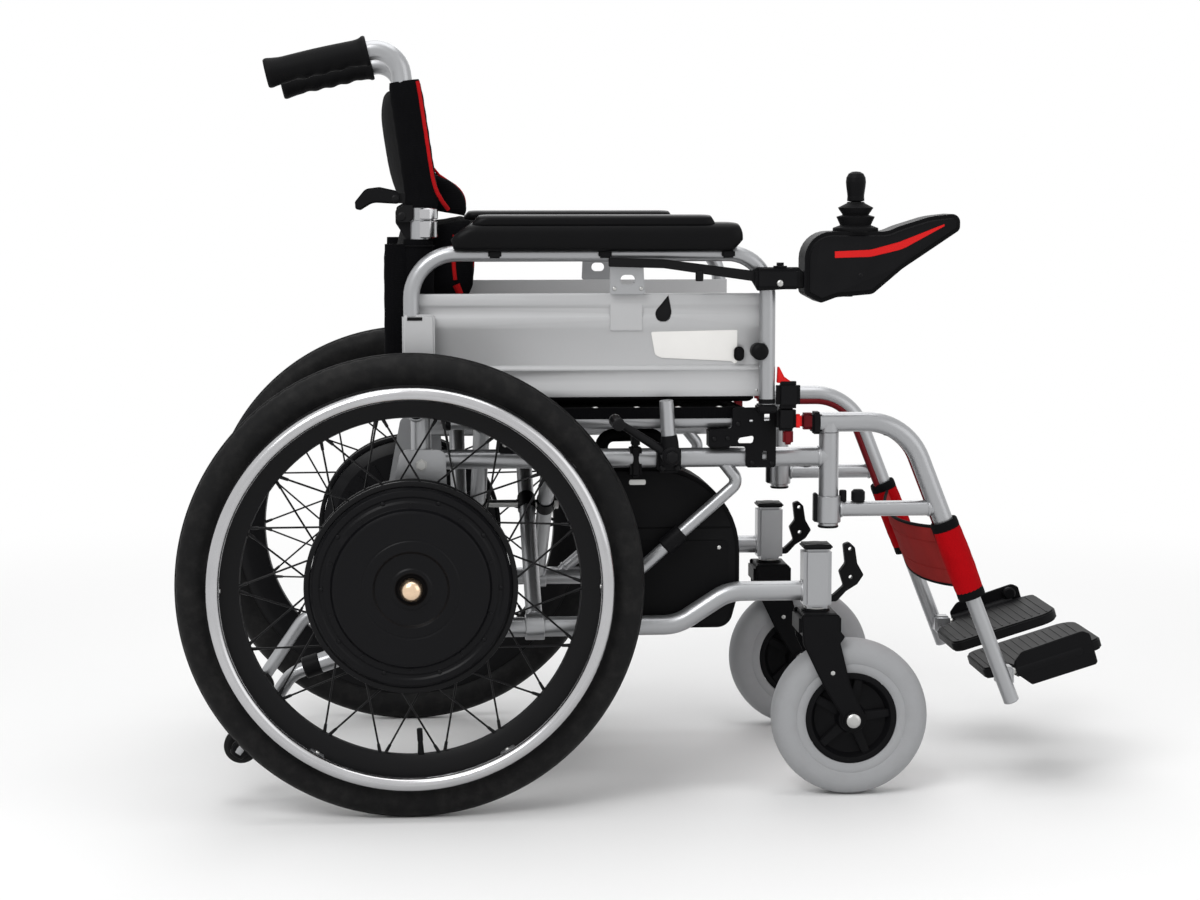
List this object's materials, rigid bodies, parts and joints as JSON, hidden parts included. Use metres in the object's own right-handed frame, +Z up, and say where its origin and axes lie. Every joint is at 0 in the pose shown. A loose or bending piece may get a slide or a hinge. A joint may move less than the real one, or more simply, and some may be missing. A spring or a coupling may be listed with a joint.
{
  "type": "folding power wheelchair",
  "caption": "Folding power wheelchair: tubular side frames on a scissor cross, hub motor rear wheels with handrims, swing-away footrests and a joystick on the armrest.",
  "frame": {"origin": "on the floor at the middle of the bounding box", "axes": "+X forward, the way the chair drives; +Y to its left; +Z up"},
  "size_m": [1.1808, 0.651, 0.9527],
  "materials": {
    "frame_silver": "silver metallic lacquer",
    "steel": "zinc plated",
    "brass": "satin",
    "panel_grey": "silver grey moulding",
    "black_plastic": "fine grain",
    "battery_case": "fine grain",
    "black_metal": "satin black coating",
    "rubber": "matt",
    "tyre_black": "treaded",
    "tyre_grey": "smooth",
    "arm_foam": "moulded foam skin",
    "black_fabric": "woven nylon",
    "red_webbing": "padded web",
    "red_sleeve": "padded sleeve"
  },
  "bodies": {
    "right_frame": {"side_frame_right": "frame_silver", "axle_plate_right": "frame_silver", "axle_nut_right": "brass", "seat_bracket_right": "black_plastic", "brake_base_right": "black_plastic", "back_lower": "black_fabric", "battery_box": "battery_case"},
    "cross_a": {"cross_a": "frame_silver", "cross_bolt": "steel"},
    "cross_b": {"cross_b": "frame_silver"},
    "left_frame": {"side_frame_left": "frame_silver", "axle_plate_left": "frame_silver", "axle_nut_left": "brass", "seat_bracket_left": "black_plastic", "brake_base_left": "black_plastic"},
    "seat": {"seat_sling": "black_fabric", "seat_cushion": "black_fabric"},
    "right_wheel": {"rear_tyre_right": "tyre_black", "rear_rim_right": "black_metal", "hub_motor_right": "black_metal", "handrim_right": "frame_silver"},
    "right_brake": {"brake_lever_right": "frame_silver"},
    "right_caster_fork": {"caster_fork_right": "black_plastic"},
    "right_caster_wheel": {"caster_tyre_right": "tyre_grey", "caster_hub_right": "black_plastic"},
    "right_hanger": {"hanger_right": "frame_silver", "leg_sleeve_right": "red_sleeve", "calf_strap": "red_webbing"},
    "right_footplate": {"footplate_right": "black_plastic"},
    "right_armrest": {"arm_frame_right": "frame_silver", "arm_pad_right": "arm_foam", "side_panel_right": "panel_grey", "joystick_bar": "black_metal", "joystick_housing": "black_plastic"},
    "right_upper_back": {"upper_cane_right": "frame_silver", "push_grip_right": "rubber", "back_upper": "black_fabric"},
    "right_back_latch": {"back_latch_right": "black_plastic"},
    "right_anti_tip": {"anti_tip_roller_right": "tyre_black"},
    "left_wheel": {"rear_tyre_left": "tyre_black", "rear_rim_left": "black_metal", "hub_motor_left": "black_metal", "handrim_left": "frame_silver"},
    "left_brake": {"brake_lever_left": "frame_silver"},
    "left_caster_fork": {"caster_fork_left": "black_plastic"},
    "left_caster_wheel": {"caster_tyre_left": "tyre_grey", "caster_hub_left": "black_plastic"},
    "left_hanger": {"hanger_left": "frame_silver", "leg_sleeve_left": "red_sleeve"},
    "left_footplate": {"footplate_left": "black_plastic"},
    "left_armrest": {"arm_frame_left": "frame_silver", "arm_pad_left": "arm_foam", "side_panel_left": "panel_grey"},
    "left_upper_back": {"upper_cane_left": "frame_silver", "push_grip_left": "rubber"},
    "left_back_latch": {"back_latch_left": "black_plastic"},
    "left_anti_tip": {"anti_tip_roller_left": "tyre_black"},
    "joystick_gimbal": {"joystick_boot": "rubber"},
    "joystick_stick": {"joystick_stick": "black_plastic"}
  },
  "joints": [
    {"name": "fold", "type": "hinge", "parent": "right_frame", "child": "cross_a", "pos_m": [-0.3044, -0.205, 0.22], "axis": [1, 0, 0], "range_deg": [0, 42], "deforming": ["seat_sling", "seat_cushion", "back_lower", "back_upper", "calf_strap"]},
    {"name": "cross_spread", "type": "hinge", "parent": "cross_a", "child": "cross_b", "pos_m": [-0.3044, 0, 0.3505], "axis": [1, 0, 0], "range_deg": [-84, 0]},
    {"name": "left_frame_follow", "type": "hinge", "parent": "cross_b", "child": "left_frame", "pos_m": [-0.3044, 0.205, 0.22], "axis": [1, 0, 0], "range_deg": [0, 42]},
    {"name": "seat_follow", "type": "hinge", "parent": "cross_a", "child": "seat", "pos_m": [-0.3044, 0.205, 0.481], "axis": [1, 0, 0], "range_deg": [-42, 0]},
    {"name": "right_wheel_spin", "type": "hinge", "parent": "right_frame", "child": "right_wheel", "pos_m": [-0.3044, -0.285, 0.286], "axis": [0, 1, 0], "continuous": true},
    {"name": "right_caster_swivel", "type": "hinge", "parent": "right_frame", "child": "right_caster_fork", "pos_m": [0.2076, -0.205, 0.24], "axis": [0, 0, 1], "continuous": true},
    {"name": "right_caster_spin", "type": "hinge", "parent": "right_caster_fork", "child": "right_caster_wheel", "pos_m": [0.2516, -0.205, 0.1], "axis": [0, 1, 0], "continuous": true},
    {"name": "right_anti_tip_spin", "type": "hinge", "parent": "right_frame", "child": "right_anti_tip", "pos_m": [-0.5194, -0.185, 0.07], "axis": [0, 1, 0], "continuous": true},
    {"name": "right_hanger_swing", "type": "hinge", "parent": "right_frame", "child": "right_hanger", "pos_m": [0.2226, -0.205, 0.366], "axis": [0, 0, 1], "range_deg": [-100, 0]},
    {"name": "right_footplate_flip", "type": "hinge", "parent": "right_hanger", "child": "right_footplate", "pos_m": [0.4716, -0.184, 0.15], "axis": [0.9563, 0, 0.2924], "range_deg": [0, 84]},
    {"name": "right_armrest_flip", "type": "hinge", "parent": "right_frame", "child": "right_armrest", "pos_m": [-0.2964, -0.24, 0.497], "axis": [0, -1, 0], "range_deg": [0, 100]},
    {"name": "right_back_fold", "type": "hinge", "parent": "right_frame", "child": "right_upper_back", "pos_m": [-0.3124, -0.205, 0.735], "axis": [0, -1, 0], "range_deg": [0, 95]},
    {"name": "right_back_latch_press", "type": "hinge", "parent": "right_upper_back", "child": "right_back_latch", "pos_m": [-0.3204, -0.205, 0.757], "axis": [0, 1, 0], "range_deg": [0, 25], "stiffness_Nm_per_rad": 0.3},
    {"name": "right_brake_lever", "type": "hinge", "parent": "right_frame", "child": "right_brake", "pos_m": [0.0176, -0.249, 0.44], "axis": [0, -1, 0], "range_deg": [0, 22]},
    {"name": "left_wheel_spin", "type": "hinge", "parent": "left_frame", "child": "left_wheel", "pos_m": [-0.3044, 0.285, 0.286], "axis": [0, 1, 0], "continuous": true},
    {"name": "left_caster_swivel", "type": "hinge", "parent": "left_frame", "child": "left_caster_fork", "pos_m": [0.2076, 0.205, 0.24], "axis": [0, 0, 1], "continuous": true},
    {"name": "left_caster_spin", "type": "hinge", "parent": "left_caster_fork", "child": "left_caster_wheel", "pos_m": [0.2516, 0.205, 0.1], "axis": [0, 1, 0], "continuous": true},
    {"name": "left_anti_tip_spin", "type": "hinge", "parent": "left_frame", "child": "left_anti_tip", "pos_m": [-0.5194, 0.185, 0.07], "axis": [0, 1, 0], "continuous": true},
    {"name": "left_hanger_swing", "type": "hinge", "parent": "left_frame", "child": "left_hanger", "pos_m": [0.2226, 0.205, 0.366], "axis": [0, 0, 1], "range_deg": [0, 100]},
    {"name": "left_footplate_flip", "type": "hinge", "parent": "left_hanger", "child": "left_footplate", "pos_m": [0.4716, 0.184, 0.15], "axis": [0.9563, 0, 0.2924], "range_deg": [-84, 0]},
    {"name": "left_armrest_flip", "type": "hinge", "parent": "left_frame", "child": "left_armrest", "pos_m": [-0.2964, 0.24, 0.497], "axis": [0, -1, 0], "range_deg": [0, 100]},
    {"name": "left_back_fold", "type": "hinge", "parent": "left_frame", "child": "left_upper_back", "pos_m": [-0.3124, 0.205, 0.735], "axis": [0, -1, 0], "range_deg": [0, 95]},
    {"name": "left_back_latch_press", "type": "hinge", "parent": "left_upper_back", "child": "left_back_latch", "pos_m": [-0.3204, 0.205, 0.757], "axis": [0, 1, 0], "range_deg": [0, 25], "stiffness_Nm_per_rad": 0.3},
    {"name": "left_brake_lever", "type": "hinge", "parent": "left_frame", "child": "left_brake", "pos_m": [0.0176, 0.249, 0.44], "axis": [0, -1, 0], "range_deg": [0, 22]},
    {"name": "joystick_fore_aft", "type": "hinge", "parent": "right_armrest", "child": "joystick_gimbal", "pos_m": [0.2466, -0.243, 0.715], "axis": [0, 1, 0], "range_deg": [-18, 18], "stiffness_Nm_per_rad": 0.2, "deforming": ["joystick_boot"]},
    {"name": "joystick_side", "type": "hinge", "parent": "joystick_gimbal", "child": "joystick_stick", "pos_m": [0.2466, -0.243, 0.715], "axis": [1, 0, 0], "range_deg": [-18, 18], "stiffness_Nm_per_rad": 0.2}
  ],
  "couplings": [
    {"joint": "cross_spread", "follows": "fold", "ratio": -2},
    {"joint": "left_frame_follow", "follows": "fold", "ratio": 1},
    {"joint": "seat_follow", "follows": "fold", "ratio": -1},
    {"joint": "right_footplate_flip", "follows": "fold", "ratio": 2},
    {"joint": "left_footplate_flip", "follows": "fold", "ratio": -2},
    {"joint": "left_back_fold", "follows": "right_back_fold", "ratio": 1}
  ]
}
